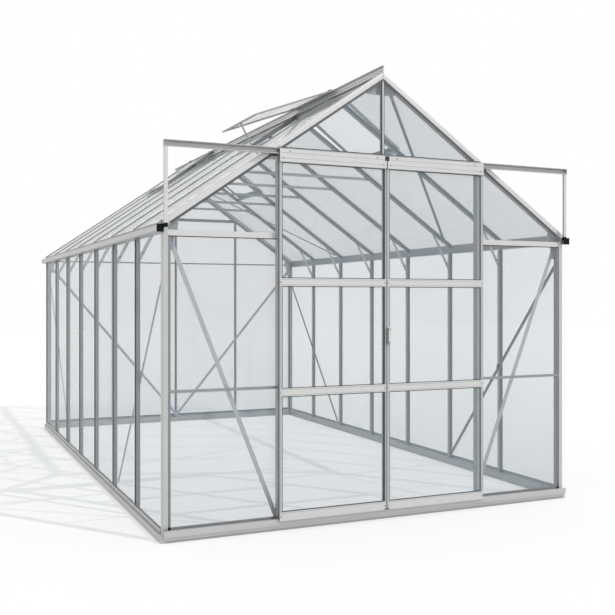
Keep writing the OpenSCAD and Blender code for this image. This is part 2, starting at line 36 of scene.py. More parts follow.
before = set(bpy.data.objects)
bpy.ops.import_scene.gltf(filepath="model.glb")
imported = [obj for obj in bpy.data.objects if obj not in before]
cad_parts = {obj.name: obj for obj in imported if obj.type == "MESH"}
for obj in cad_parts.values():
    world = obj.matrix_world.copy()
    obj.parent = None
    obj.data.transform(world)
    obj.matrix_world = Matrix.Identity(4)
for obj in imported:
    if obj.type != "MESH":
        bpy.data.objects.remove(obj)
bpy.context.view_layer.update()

# Places taken from the model, in metres
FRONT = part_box("base_frame")[0].y
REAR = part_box("base_frame")[1].y
BASE_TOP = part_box("base_frame")[1].z
BASE_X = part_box("base_corners")[1].x
WALL_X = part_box("corner_posts")[1].x
GABLE_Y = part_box("corner_posts")[0].y - FRONT
TRACK_LOW, TRACK_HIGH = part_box("door_track")
TIES_LOW, TIES_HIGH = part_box("collar_ties")
DOOR_LOW, DOOR_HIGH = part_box("door_right_rails")
STILE_LOW, STILE_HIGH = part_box("door_right_stiles")
HANDLE_LOW, HANDLE_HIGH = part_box("door_right_handle")
LEAF_Y = STILE_LOW.y
STILE_W = 0.015
BEAM_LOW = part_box("gutter_right")[0].z

# Sizes of the profiles that the fittings sit on
PITCH = math.radians(34.6)
RIDGE_FIN = 0.036
RIDGE_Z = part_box("ridge_bar")[1].z - RIDGE_FIN
SLOPE = WALL_X / math.cos(PITCH)
EAVES_Z = RIDGE_Z - WALL_X * math.tan(PITCH)
BAYS = 7
LENGTH = REAR - FRONT
BAY = (LENGTH - 2 * GABLE_Y) / BAYS
QUARTER = WALL_X / 2
EDGE = 0.030
SEAT = 0.008
GLASS = 0.003
FIT = 0.0003
BEAD = 0.005
INNER = 0.0305
FOOT = 0.024
FOOT_LINE = 0.00025
FLOOR_Z = BASE_TOP + 0.003
SILL_TOP = BASE_TOP + 0.018
VENT_BAYS = (2, BAYS - 1)
VENT_LENGTH = 0.566
HINGE_X, HINGE_UP = 0.008, 0.028
HINGE_U = HINGE_X * math.cos(PITCH) - HINGE_UP * math.sin(PITCH)
HINGE_W = HINGE_X * math.sin(PITCH) + HINGE_UP * math.cos(PITCH)
VENT_WIDTH = BAY - 0.004
POST_X0 = QUARTER - 0.008
POST_X1 = POST_X0 + 0.016
LINTEL_TOP = TRACK_LOW.z + 0.022
DOOR_RAILS_Z = (DOOR_LOW.z + 0.685, DOOR_LOW.z + 1.273)
DOOR_RAIL_H = 0.041
SMALL_SCREW = 0.004


# ---------- places ----------


def along(y):
    """Row place of a distance from the front of the ground frame."""
    return FRONT + y


def on_slope(side, u, y, w=0.0):
    """Point on a roof slope: u down from the ridge, y from the front, w out of the roof."""
    x = u * math.cos(PITCH) + w * math.sin(PITCH)
    return Vector((side * x, along(y), RIDGE_Z - u * math.sin(PITCH) + w * math.cos(PITCH)))


def slope_matrix(side, y=0.0):
    """Turns a piece drawn with x down the slope, y along the house and z out of the roof."""
    turn = Matrix.Rotation(PITCH, 4, "Y")
    if side < 0:
        turn = Matrix.Rotation(math.pi, 4, "Z") @ turn
    return Matrix.Translation((0, along(y), RIDGE_Z)) @ turn


def facing(point, direction):
    """Places a fitting drawn along +Z at a point, pointing in a direction."""
    return Matrix.Translation(point) @ Vector(direction).to_track_quat("Z", "X").to_matrix().to_4x4()


def vent_angle(side, bay):
    """Angle of a vent to its slope: the front left one is open, the others rest on their sills."""
    if side < 0 and bay == VENT_BAYS[0]:
        return math.radians(14)
    return -math.atan2(HINGE_W - 0.008, VENT_LENGTH)


def vent_point(side, bay, u, y, w=0.0):
    """Point on a vent leaf: u from the hinge, y from its front edge, w out of the leaf."""
    a = vent_angle(side, bay)
    down = HINGE_U + u * math.cos(a) - w * math.sin(a)
    up = HINGE_W + u * math.sin(a) + w * math.cos(a)
    return on_slope(side, down, GABLE_Y + (bay - 1) * BAY + 0.002 + y, up)


def vent_matrix(side, bay):
    """Turns a piece drawn with x down a vent leaf, y along the house and z out of the leaf."""
    y = GABLE_Y + (bay - 1) * BAY + 0.002
    tilt = Matrix.Translation((HINGE_U, 0, HINGE_W)) @ Matrix.Rotation(-vent_angle(side, bay), 4, "Y")
    if side > 0:
        return slope_matrix(side, y) @ tilt
    return slope_matrix(side, y + VENT_WIDTH) @ tilt


# ---------- modelling ----------


def clear_selection():
    if bpy.context.object and bpy.context.object.mode != "OBJECT":
        bpy.ops.object.mode_set(mode="OBJECT")
    bpy.ops.object.select_all(action="DESELECT")


def pick(obj):
    clear_selection()
    obj.select_set(True)
    bpy.context.view_layer.objects.active = obj


def settle(obj):
    """Puts an object's place, turn and size into its mesh."""
    pick(obj)
    bpy.ops.object.transform_apply(location=True, rotation=True, scale=True)


def soften(obj, width, segments=2):
    """Rounds the edges of a piece."""
    pick(obj)
    bevel = obj.modifiers.new("Bevel", "BEVEL")
    bevel.width = width
    bevel.segments = segments
    bevel.limit_method = "ANGLE"
    bevel.harden_normals = False
    bpy.ops.object.modifier_apply(modifier=bevel.name)
    bpy.ops.object.shade_smooth_by_angle(angle=math.radians(40))
    return obj


def bar(low, high, edge=0.0006, segments=2):
    """Straight strip with rounded edges between two corners."""
    low, high = Vector(low), Vector(high)
    clear_selection()
    bpy.ops.mesh.primitive_cube_add(size=1, location=(low + high) / 2, scale=high - low)
    obj = bpy.context.object
    settle(obj)
    return soften(obj, edge, segments)


def select_faces(obj, direction):
    """In edit mode, with only the faces that point in a direction selected."""
    pick(obj)
    bpy.ops.object.mode_set(mode="EDIT")
    bpy.ops.mesh.select_mode(type="FACE")
    bpy.ops.mesh.select_all(action="DESELECT")
    bpy.ops.object.mode_set(mode="OBJECT")
    want = Vector(direction)
    for face in obj.data.polygons:
        face.select = face.normal.dot(want) > 0.99
    bpy.ops.object.mode_set(mode="EDIT")


def round_piece(radius, height, sides, base=0.0, edge=0.0006):
    """Round or many-sided piece that stands on z = base."""
    clear_selection()
    bpy.ops.mesh.primitive_cylinder_add(
        vertices=sides, radius=radius, depth=height, location=(0, 0, base + height / 2)
    )
    obj = bpy.context.object
    settle(obj)
    return soften(obj, edge)


def screw_pattern(radius):
    """Dome-headed screw on a washer, drawn along +Z, with a six-sided socket in its head."""
    washer = round_piece(radius * 1.35, radius * 0.22, 20, edge=radius * 0.06)
    head = round_piece(radius, radius * 0.55, 20, base=radius * 0.2, edge=radius * 0.2)
    select_faces(head, (0, 0, 1))
    bpy.ops.mesh.inset(thickness=radius * 0.35)
    bpy.ops.transform.translate(value=(0, 0, -radius * 0.25))
    bpy.ops.object.mode_set(mode="OBJECT")
    return joined([washer, head], "screw")


def joined(parts, name):
    """One object from several, its place in its mesh."""
    clear_selection()
    for part in parts:
        part.select_set(True)
    bpy.context.view_layer.objects.active = parts[0]
    if len(parts) > 1:
        bpy.ops.object.join()
    obj = parts[0]
    obj.name = name
    obj.data.name = name
    return obj


def copies(pattern, matrices):
    """Copies of a pattern, each with its own mesh. The pattern itself goes."""
    made = []
    for matrix in matrices:
        piece = pattern.copy()
        piece.data = pattern.data.copy()
        piece.data.transform(matrix)
        bpy.context.scene.collection.objects.link(piece)
        made.append(piece)
    bpy.data.objects.remove(pattern)
    return made


def finish_piece(obj, material, body="house"):
    """Gives a new piece its material and the body it moves with."""
    obj.data.materials.clear()
    obj.data.materials.append(material)
    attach(obj, body)
    return obj


# ---------- shader groups ----------


def new_group(name, inputs, outputs):
    group = bpy.data.node_groups.new(name, "ShaderNodeTree")
    for label, kind, value in inputs:
        socket = group.interface.new_socket(label, in_out="INPUT", socket_type=kind)
        socket.default_value = value
    for label, kind in outputs:
        group.interface.new_socket(label, in_out="OUTPUT", socket_type=kind)
    start = group.nodes.new("NodeGroupInput")
    end = group.nodes.new("NodeGroupOutput")
    return group, group.nodes, group.links, start, end


def math_node(nodes, links, operation, a, b=None, clamp=False):
    node = nodes.new("ShaderNodeMath")
    node.operation = operation
    node.use_clamp = clamp
    for socket, value in zip(node.inputs, (a, b)):
        if isinstance(value, (int, float)):
            socket.default_value = value
        elif value is not None:
            links.new(value, socket)
    return node.outputs[0]


def vector_node(nodes, links, operation, a, b=None):
    node = nodes.new("ShaderNodeVectorMath")
    node.operation = operation
    for socket, value in zip(node.inputs, (a, b)):
        if isinstance(value, tuple):
            socket.default_value = value
        elif value is not None:
            links.new(value, socket)
    return node.outputs["Value" if operation == "DOT_PRODUCT" else "Vector"]


def mix_colours(nodes, links, factor, a, b, blend="MIX"):
    node = nodes.new("ShaderNodeMix")
    node.data_type = "RGBA"
    node.blend_type = blend
    for socket, value in ((node.inputs[0], factor), (node.inputs[6], a), (node.inputs[7], b)):
        if isinstance(value, (int, float, tuple)):
            socket.default_value = value
        else:
            links.new(value, socket)
    return node.outputs[2]


def noise_node(nodes, links, vector, scale, detail=2.0):
    node = nodes.new("ShaderNodeTexNoise")
    node.inputs["Scale"].default_value = scale
    node.inputs["Detail"].default_value = detail
    links.new(vector, node.inputs["Vector"])
    return node.outputs["Fac"]


def painted_face_shade_group():
    """Painted light and shade on a profile by which way its faces point: out of the house, sideways or into
    it.
    """
    group, nodes, links, start, end = new_group(
        "ProfileFaces",
        [
            ("Outward", "NodeSocketVector", (1.0, 0.0, 0.0)),
            ("Outer", "NodeSocketColor", (0.7, 0.7, 0.7, 1)),
            ("Side", "NodeSocketColor", (0.3, 0.3, 0.3, 1)),
            ("Inner", "NodeSocketColor", (0.4, 0.4, 0.4, 1)),
        ],
        [("Color", "NodeSocketColor"), ("Outer Mask", "NodeSocketFloat")],
    )
    place = nodes.new("ShaderNodeTexCoord")
    sides = vector_node(nodes, links, "SIGN", place.outputs["Object"])
    out = vector_node(nodes, links, "MULTIPLY", sides, start.outputs["Outward"])
    dot = vector_node(nodes, links, "DOT_PRODUCT", out, place.outputs["Normal"])
    outer = math_node(nodes, links, "MULTIPLY_ADD", dot, 3.0, clamp=True)
    outer.node.inputs[2].default_value = -1.0
    inner = math_node(nodes, links, "MULTIPLY_ADD", dot, -3.0, clamp=True)
    inner.node.inputs[2].default_value = -1.0
    colour = mix_colours(nodes, links, inner, start.outputs["Side"], start.outputs["Inner"])
    colour = mix_colours(nodes, links, outer, colour, start.outputs["Outer"])
    links.new(colour, end.inputs["Color"])
    links.new(outer, end.inputs["Outer Mask"])
    return group


def drawn_metal_group():
    """Fine lines left by drawing the profile, with soft clouds of colour and gloss."""
    group, nodes, links, start, end = new_group(
        "DrawnMetal",
        [
            ("Color", "NodeSocketColor", (0.7, 0.7, 0.7, 1)),
            ("Stretch", "NodeSocketVector", (900.0, 900.0, 4.0)),
            ("Lines", "NodeSocketFloat", 0.12),
            ("Clouds", "NodeSocketFloat", 0.10),
            ("Roughness", "NodeSocketFloat", 0.4),
        ],
        [("Color", "NodeSocketColor"), ("Roughness", "NodeSocketFloat"), ("Height", "NodeSocketFloat")],
    )
    place = nodes.new("ShaderNodeTexCoord")
    drawn = vector_node(nodes, links, "MULTIPLY", place.outputs["Object"], start.outputs["Stretch"])
    lines = noise_node(nodes, links, drawn, 1.0, 1.0)
    clouds = noise_node(nodes, links, place.outputs["Object"], 7.0, 3.0)
    swing = math_node(nodes, links, "SUBTRACT", lines, 0.5)
    swing = math_node(nodes, links, "MULTIPLY", swing, start.outputs["Lines"])
    cloud = math_node(nodes, links, "SUBTRACT", clouds, 0.5)
    cloud = math_node(nodes, links, "MULTIPLY", cloud, start.outputs["Clouds"])
    level = math_node(nodes, links, "ADD", math_node(nodes, links, "ADD", swing, cloud), 1.0)
    shade = nodes.new("ShaderNodeCombineColor")
    for socket in shade.inputs:
        links.new(level, socket)
    colour = mix_colours(nodes, links, 1.0, start.outputs["Color"], shade.outputs[0], "MULTIPLY")
    rougher = math_node(nodes, links, "MULTIPLY", swing, 1.5)
    rough = math_node(nodes, links, "ADD", start.outputs["Roughness"], rougher)
    links.new(colour, end.inputs["Color"])
    links.new(rough, end.inputs["Roughness"])
    links.new(lines, end.inputs["Height"])
    return group


def weather_group():
    """Film of dust that gathers towards the ground and in patches."""
    group, nodes, links, start, end = new_group(
        "WeatherFilm",
        [
            ("Height", "NodeSocketFloat", 0.2),
            ("Strength", "NodeSocketFloat", 0.3),
            ("Scale", "NodeSocketFloat", 9.0),
        ],
        [("Mask", "NodeSocketFloat")],
    )
    place = nodes.new("ShaderNodeTexCoord")
    split = nodes.new("ShaderNodeSeparateXYZ")
    links.new(place.outputs["Object"], split.inputs[0])
    low = math_node(nodes, links, "DIVIDE", split.outputs[2], start.outputs["Height"])
    low = math_node(nodes, links, "SUBTRACT", 1.0, low, clamp=True)
    patch = nodes.new("ShaderNodeTexNoise")
    patch.inputs["Detail"].default_value = 4.0
    links.new(place.outputs["Object"], patch.inputs["Vector"])
    links.new(start.outputs["Scale"], patch.inputs["Scale"])
    mask = math_node(nodes, links, "MULTIPLY", low, patch.outputs["Fac"])
    mask = math_node(nodes, links, "MULTIPLY", mask, start.outputs["Strength"], clamp=True)
    links.new(mask, end.inputs["Mask"])
    return group


# ---------- materials ----------

ALONG_X = (4.0, 700.0, 700.0)
ALONG_Y = (700.0, 4.0, 700.0)
ALONG_Z = (700.0, 700.0, 4.0)


def shader_of(material):
    material.use_nodes = True
    nodes, links = material.node_tree.nodes, material.node_tree.links
    return nodes, links, nodes["Principled BSDF"]


def place_group(nodes, name, **values):
    node = nodes.new("ShaderNodeGroup")
    node.node_tree = bpy.data.node_groups[name]
    for label, value in values.items():
        node.inputs[label].default_value = value
    return node


def metal(name, outer, side, inner, outward, stretch, roughness=0.42, metallic=0.55, dust=0.0, flank=None):
    """Mill-finish profile: painted light and shade by which way its faces point, drawn lines and a little
    dust. The flank tone is painted light on the faces that run along the house.
    """
    material = bpy.data.materials.new(name)
    nodes, links, shader = shader_of(material)
    faces = place_group(nodes, "ProfileFaces", Outward=outward)
    for label, colour in (("Outer", outer), ("Side", side), ("Inner", inner)):
        faces.inputs[label].default_value = (*colour, 1)
    drawn = place_group(nodes, "DrawnMetal", Stretch=stretch, Roughness=roughness)
    film = place_group(nodes, "WeatherFilm", Strength=dust)
    colour = faces.outputs["Color"]
    # Painted light: outward faces along the house take the lighter flank tone.
    if flank:
        place = nodes.new("ShaderNodeTexCoord")
        axes = nodes.new("ShaderNodeSeparateXYZ")
        links.new(vector_node(nodes, links, "ABSOLUTE", place.outputs["Normal"]), axes.inputs[0])
        lit_flank_mask = math_node(nodes, links, "MULTIPLY", axes.outputs["X"], faces.outputs["Outer Mask"])
        colour = mix_colours(nodes, links, lit_flank_mask, colour, (*flank, 1))
    links.new(colour, drawn.inputs["Color"])
    dusty = mix_colours(nodes, links, film.outputs["Mask"], drawn.outputs["Color"], (0.34, 0.33, 0.30, 1))
    bump = nodes.new("ShaderNodeBump")
    bump.inputs["Strength"].default_value = 0.15
    bump.inputs["Distance"].default_value = 0.0003
    links.new(drawn.outputs["Height"], bump.inputs["Height"])
    links.new(bump.outputs["Normal"], shader.inputs["Normal"])
    links.new(dusty, shader.inputs["Base Color"])
    links.new(drawn.outputs["Roughness"], shader.inputs["Roughness"])
    shader.inputs["Metallic"].default_value = metallic
    return material


def glass(name, colour, clear, shine=0.5):
    """Clear pane with a faint haze, a little more of it in drifts and towards the ground, and a painted pale
    reflection towards grazing angles.
    """
    material = bpy.data.materials.new(name)
    nodes, links, shader = shader_of(material)
    place = nodes.new("ShaderNodeTexCoord")
    drift = noise_node(nodes, links, place.outputs["Object"], 1.3, 2.0)
    film = place_group(nodes, "WeatherFilm", Height=0.9, Strength=0.08, Scale=3.0)
    tint = mix_colours(nodes, links, drift, (*colour, 1), (*[0.92 * c for c in colour], 1))
    haze = math_node(nodes, links, "MULTIPLY_ADD", drift, 0.04)
    haze.node.inputs[2].default_value = clear
    haze = math_node(nodes, links, "ADD", haze, film.outputs["Mask"])
    # Painted reflection: towards grazing angles the pane's colour turns pale grey and it stops more light.
    slant = nodes.new("ShaderNodeLayerWeight")
    glare = math_node(nodes, links, "POWER", slant.outputs["Facing"], 6.0)
    links.new(mix_colours(nodes, links, glare, tint, (0.80, 0.82, 0.83, 1)), shader.inputs["Base Color"])
    glare = math_node(nodes, links, "MULTIPLY", glare, shine)
    stopped = math_node(nodes, links, "ADD", haze, glare, clamp=True)
    rays = nodes.new("ShaderNodeLightPath")
    shade = math_node(nodes, links, "MULTIPLY_ADD", rays.outputs["Is Shadow Ray"], -0.7)
    shade.node.inputs[2].default_value = 1.0
    links.new(math_node(nodes, links, "MULTIPLY", stopped, shade), shader.inputs["Alpha"])
    shader.inputs["Roughness"].default_value = 0.04
    shader.inputs["IOR"].default_value = 1.5
    return material


def plastic(name, colour, roughness, specular=0.5):
    """Moulded plastic or rubber with a fine grain and slightly greyed patches."""
    material = bpy.data.materials.new(name)
    nodes, links, shader = shader_of(material)
    place = nodes.new("ShaderNodeTexCoord")
    patches = noise_node(nodes, links, place.outputs["Object"], 40.0, 3.0)
    grain = noise_node(nodes, links, place.outputs["Object"], 1500.0, 1.0)
    grey = tuple(0.8 * c + 0.06 * specular for c in colour)
    shader.inputs["Specular IOR Level"].default_value = specular
    links.new(mix_colours(nodes, links, patches, (*colour, 1), (*grey, 1)), shader.inputs["Base Color"])
    rough = math_node(nodes, links, "MULTIPLY_ADD", patches, 0.2)
    rough.node.inputs[2].default_value = roughness - 0.1
    links.new(rough, shader.inputs["Roughness"])
    bump = nodes.new("ShaderNodeBump")
    bump.inputs["Strength"].default_value = 0.3
    bump.inputs["Distance"].default_value = 0.0002
    links.new(grain, bump.inputs["Height"])
    links.new(bump.outputs["Normal"], shader.inputs["Normal"])
    return material


# ---------- settings ----------


def colour_setting(name, description, default):
    return bpy.props.FloatVectorProperty(
        name=name, description=description, default=default, min=0, max=1, size=3, subtype="COLOR"
    )


def length_setting(name, description, default):
    return bpy.props.FloatProperty(
        name=name, description=description, default=default, min=0.0002, max=0.1, unit="LENGTH", precision=4
    )


# Painted light and shade: the light, bright, middle, web, dark and inside tones are lit and shaded faces of
# the same mill-finish metal.
class GreenhouseColours(bpy.types.PropertyGroup):
    light: colour_setting("Light faces", "Outward faces of posts, verges and rails", (0.55, 0.553, 0.556))
    bright: colour_setting("Bright faces", "Fronts of the door rails and sills", (0.655, 0.655, 0.658))
    middle: colour_setting("Middle grey", "Side faces of posts and tracks", (0.40, 0.41, 0.42))
    web: colour_setting("Wall bars", "Webs of the bars in the walls", (0.25, 0.265, 0.28))
    dark: colour_setting("Dark grey", "Webs of the rafters and the verge bars", (0.20, 0.213, 0.222))
    inside: colour_setting("Inside faces", "Faces of the bars that point into the house", (0.30, 0.32, 0.34))
    pane: colour_setting("Glass", "Tint of the glass", (0.45, 0.54, 0.60))
    rubber: colour_setting("Rubber", "Glazing strips and seals", (0.035, 0.038, 0.04))


class GreenhouseSizes(bpy.types.PropertyGroup):
    strip: length_setting("Strip width", "Width of the rubber glazing strips", 0.004)
    bolt: length_setting("Bolt head", "Radius of the bolt heads", 0.0065)
    rib: length_setting("Rib width", "Width of the ribs on rails and ground frame", 0.0022)
    clear: bpy.props.FloatProperty(
        name="Haze",
        description="Share of light that each glass face stops",
        default=0.115,
        min=0,
        max=1,
        subtype="FACTOR",
    )


def colours():
    return bpy.context.scene.greenhouse_colours


def sizes():
    return bpy.context.scene.greenhouse_sizes


def tones():
    c = colours()
    names = ("light", "bright", "middle", "web", "dark", "inside", "pane", "rubber")
    return {name: tuple(getattr(c, name)) for name in names}


def dress(material, *nodes):
    """Gives CAD nodes their finish."""
    for name in nodes:
        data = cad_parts[name].data
        if not data.materials:
            data.materials.append(material)
        for index in range(len(data.materials)):
            data.materials[index] = material


# ---------- operators: finishes ----------

WALLWARD = (1.0, 0.0, 0.0)
GABLEWARD = (0.0, 1.0, 0.0)
OUTWARD = (1.0, 1.0, 0.0)
ROOFWARD = (math.sin(PITCH), 0.0, math.cos(PITCH))


class FinishMetal(bpy.types.Operator):
    """Mill-finish aluminium and galvanised steel of the frame and the doors"""

    bl_idname = "greenhouse.finish_metal"
    bl_label = "Finish the metalwork"

    def execute(self, context):
        t = tones()
        # These are painted light and painted shade tones, given to faces by which way they point.
        light, bright, middle, dark, inside = t["light"], t["bright"], t["middle"], t["dark"], t["inside"]
        for build in (painted_face_shade_group, drawn_metal_group, weather_group):
            build()
        # Painted light: the base frame's outward faces along the house get the lighter flank tone, its front
        # and rear faces the darker base tone.
        base = (0.38, 0.38, 0.378)
        flank = (0.62, 0.62, 0.618)
        dress(metal("base_metal", base, base, middle, OUTWARD, ALONG_X, dust=0.3, flank=flank), "base_frame")
        dress(metal("corner_metal", light, light, inside, OUTWARD, ALONG_Z), "base_corners")
        dress(metal("sill_metal", bright, bright, middle, OUTWARD, ALONG_Y, dust=0.1), "wall_sills")
        dress(metal("post_metal", light, middle, inside, OUTWARD, ALONG_Z), "corner_posts", "door_posts")
        # Painted light and shade on the wall bars and rafters: the foot tone on their inward faces, darker
        # painted shade on their sides.
        foot = (0.42, 0.44, 0.46)
        dress(metal("wall_bar_metal", light, t["web"], foot, WALLWARD, ALONG_Z), "wall_bars")
        dress(metal("gable_bar_metal", light, dark, inside, GABLEWARD, ALONG_Z), "gable_bars")
        dress(metal("gable_rail_metal", bright, middle, dark, GABLEWARD, ALONG_X), "gable_rails")
        dress(metal("panel_rail_metal", inside, inside, inside, GABLEWARD, ALONG_X), "panel_rails")
        dress(metal("gutter_metal", light, middle, inside, WALLWARD, ALONG_Y), "gutter_left", "gutter_right")
        dress(metal("verge_metal", bright, dark, middle, (0.5, 1.0, 0.5), ALONG_X), "verge_bars")
        shaded_rafter_side = (0.29, 0.305, 0.315)
        dress(metal("rafter_metal", light, shaded_rafter_side, foot, ROOFWARD, ALONG_X), "roof_bars")
        dress(metal("ridge_metal", bright, middle, inside, (1.0, 0.0, 1.0), ALONG_Y), "ridge_bar")
        dress(metal("tie_metal", middle, inside, inside, GABLEWARD, ALONG_X), "collar_ties")
        knee = (0.50, 0.51, 0.52)
        dress(metal("knee_metal", knee, knee, knee, GABLEWARD, ALONG_X), "knee_brackets")
        steel = (0.33, 0.345, 0.355)
        flat = (60.0, 60.0, 60.0)
        dress(metal("gable_brace_steel", light, steel, middle, OUTWARD, flat, 0.5), "gable_braces")
        # Painted shade: the braces' side and inner faces are darker than their outer faces.
        shaded_brace = (0.17, 0.18, 0.19)
        dress(metal("brace_steel", steel, shaded_brace, shaded_brace, OUTWARD, flat, 0.5), "wall_braces", "roof_braces")
        dress(metal("plate_steel", middle, middle, middle, OUTWARD, flat, 0.5), "gusset_plates")
        dress(metal("track_metal", (0.52, 0.52, 0.52), light, middle, GABLEWARD, ALONG_X), "door_track")
        dress(metal("header_metal", light, light, middle, GABLEWARD, ALONG_X), "door_header")
        dress(metal("strut_metal", bright, middle, middle, GABLEWARD, ALONG_Z), "track_struts")
        dress(metal("guide_metal", light, middle, middle, GABLEWARD, ALONG_X), "door_guide")
        stile = metal("stile_metal", (0.48, 0.49, 0.50), middle, inside, GABLEWARD, ALONG_Z)
        dress(stile, "door_left_stiles", "door_right_stiles")
        rail = metal("rail_metal", bright, middle, inside, GABLEWARD, ALONG_X)
        dress(rail, "door_left_rails", "door_right_rails")
        dress(metal("handle_metal", bright, light, light, GABLEWARD, ALONG_Z, 0.3), "door_right_handle")
        dress(metal("vent_metal", light, middle, inside, ROOFWARD, ALONG_Y), "vent_frames", "vent_sills")
        metal("bolt_steel", (0.30, 0.31, 0.32), (0.22, 0.22, 0.23), middle, OUTWARD, flat, 0.35, 0.8)
        metal("rib_metal", (0.42, 0.42, 0.42), inside, middle, OUTWARD, ALONG_X)
        dress(metal("stay_metal", middle, middle, middle, ROOFWARD, ALONG_X), "vent_stays")
        return {"FINISHED"}


class FinishGlass(bpy.types.Operator):
    """Clear panes in walls, gables, roof, vents and doors"""

    bl_idname = "greenhouse.finish_glass"
    bl_label = "Finish the glass"

    def execute(self, context):
        t = tones()
        clear = sizes().clear
        dress(glass("pane_glass", t["pane"], clear - 0.045, 0.3), "left_wall_glass", "right_wall_glass")
        gable = glass("gable_pane_glass", t["pane"], clear + 0.02)
        dress(gable, "rear_gable_glass", "front_gable_glass", "door_left_glass", "door_right_glass")
        dress(glass("vent_pane_glass", t["pane"], clear - 0.04, 0.25), "vent_glass")
        dress(glass("roof_pane_glass", t["pane"], clear + 0.055), "roof_glass_left", "roof_glass_right")
        return {"FINISHED"}


class FinishPlastic(bpy.types.Operator):
    """Plastic gutter caps and door wheels, and the rubber of the seals"""

    bl_idname = "greenhouse.finish_plastic"
    bl_label = "Finish the plastic parts"

    def execute(self, context):
        plastic("seal_rubber", tones()["rubber"], 0.6)
        plastic("seal_grey", (0.115, 0.125, 0.13), 0.6)
        plastic("seal_pale", (0.27, 0.28, 0.29), 0.6)
        dress(plastic("black_plastic", (0.006, 0.006, 0.0065), 0.6, 0.1), "gutter_caps_front")
        dress(plastic("light_plastic", (0.62, 0.63, 0.64), 0.45), "gutter_caps_rear")
        dress(plastic("wheel_nylon", (0.06, 0.06, 0.065), 0.4), "door_left_rollers", "door_right_rollers")
        return {"FINISHED"}


# ---------- operators: fittings ----------


def pane_edges():
    """Places of the upright edges of the side wall panes, from the front."""
    for k in range(1, BAYS + 1):
        start = GABLE_Y + (EDGE if k == 1 else (k - 1) * BAY + BEAD) + FIT
        end = (LENGTH - GABLE_Y - EDGE if k == BAYS else GABLE_Y + k * BAY - BEAD) - FIT
        yield start, end


class GlazingStrips(bpy.types.Operator):
    """Rubber strips that hold the panes of walls, gables and roof against their bars"""

    bl_idname = "greenhouse.glazing_strips"
    bl_label = "Glazing strips"

    def execute(self, context):
        width = sizes().strip
        rubber = bpy.data.materials["seal_rubber"]
        out = WALL_X - SEAT + FIT + GLASS
        pattern = bar((out, 0, FLOOR_Z + 0.003), (out + 0.0027, width, BEAM_LOW - 0.003))
        places = []
        for start, end in pane_edges():
            for y in (start, end - width):
                places.append(Matrix.Translation((0, along(y), 0)))
                places.append(
                    Matrix.Translation((0, along(y) + width, 0)) @ Matrix.Rotation(math.pi, 4, "Z")
                )
        finish_piece(joined(copies(pattern, places), "wall_strips"), rubber)

        top = -SEAT + FIT + GLASS
        strips = []
        for side in (-1, 1):
            for k, (start, end) in enumerate(pane_edges(), 1):
                u0 = VENT_LENGTH + 0.020 if k in VENT_BAYS else 0.055
                for y in (start, end - width):
                    low = y if side > 0 else -y - width
                    piece = bar((u0, low, top), (SLOPE + 0.012, low + width, top + 0.0027))
                    piece.data.transform(slope_matrix(side))
                    strips.append(piece)
        finish_piece(joined(strips, "roof_strips"), bpy.data.materials["seal_pale"])

        face = GABLE_Y + SEAT - FIT - GLASS
        strips = []
        bars_x = {True: (0.0, QUARTER), False: (0.0,)}
        for rear in (False, True):
            y1 = face if not rear else LENGTH - face
            for x in bars_x[rear]:
                for edge in (x + BEAD + FIT, x - BEAD - FIT - width):
                    for side in (-1, 1) if x else (1,):
                        a, b = sorted((side * edge, side * (edge + width)))
                        low = FLOOR_Z + 0.003 if rear else LINTEL_TOP + 0.003
                        fall = max(abs(a), abs(b)) * math.tan(PITCH)
                        high = RIDGE_Z - fall - EDGE / math.cos(PITCH) - 0.002
                        thick = 0.0027
                        ys = sorted((along(y1), along(y1 + (thick if rear else -thick))))
                        strips.append(bar((a, ys[0], low), (b, ys[1], high)))
        finish_piece(joined(strips, "gable_strips"), rubber)

        gaskets, feet = [], []
        front = along(face)
        for side in (-1, 1):
            xs = sorted((side * (POST_X1 + FIT), side * (WALL_X - EDGE - FIT)))
            low, high = (xs[0], front - 0.0012, SILL_TOP), (xs[1], front, SILL_TOP + 0.015)
            feet.append(bar(low, high, 0.0004))
            high = EAVES_Z - 0.081
            ends = sorted((side * (WALL_X - EDGE - FIT), side * (WALL_X - EDGE - FIT - 0.014)))
            feet.append(bar((ends[0], front - 0.0012, SILL_TOP), (ends[1], front, high), 0.0004))
            gaskets.append(bar((xs[0], front - 0.0012, high - 0.005), (xs[1], front, high), 0.0004))
        back = along(LENGTH - face)
        x1 = WALL_X - EDGE - FIT
        gaskets.append(bar((-x1, back, SILL_TOP), (x1, back + 0.0012, SILL_TOP + 0.015), 0.0004))
        for side in (-1, 1):
            xs = sorted((side * out, side * (out + 0.0012)))
            y0, y1 = along(GABLE_Y + EDGE + FIT), along(LENGTH - GABLE_Y - EDGE - FIT)
            feet.append(bar((xs[0], y0, SILL_TOP), (xs[1], y1, SILL_TOP + 0.008), 0.0004))

        u0, u1 = 0.03, SLOPE - 0.03
        for side in (-1, 1):
            for y in (GABLE_Y + 0.0045, LENGTH - GABLE_Y - 0.0045):
                ys = (y - 0.003, y) if y < LENGTH / 2 else (y, y + 0.003)
                ys = ys if side > 0 else (-ys[1], -ys[0])
                piece = bar((u0, ys[0], -EDGE - 0.013), (u1, ys[1], -EDGE + 0.0005), 0.0004)
                piece.data.transform(slope_matrix(side))
                gaskets.append(piece)
        finish_piece(joined(gaskets, "pane_gaskets"), bpy.data.materials["seal_grey"])
        finish_piece(joined(feet, "foot_gaskets"), bpy.data.materials["seal_pale"])
        return {"FINISHED"}


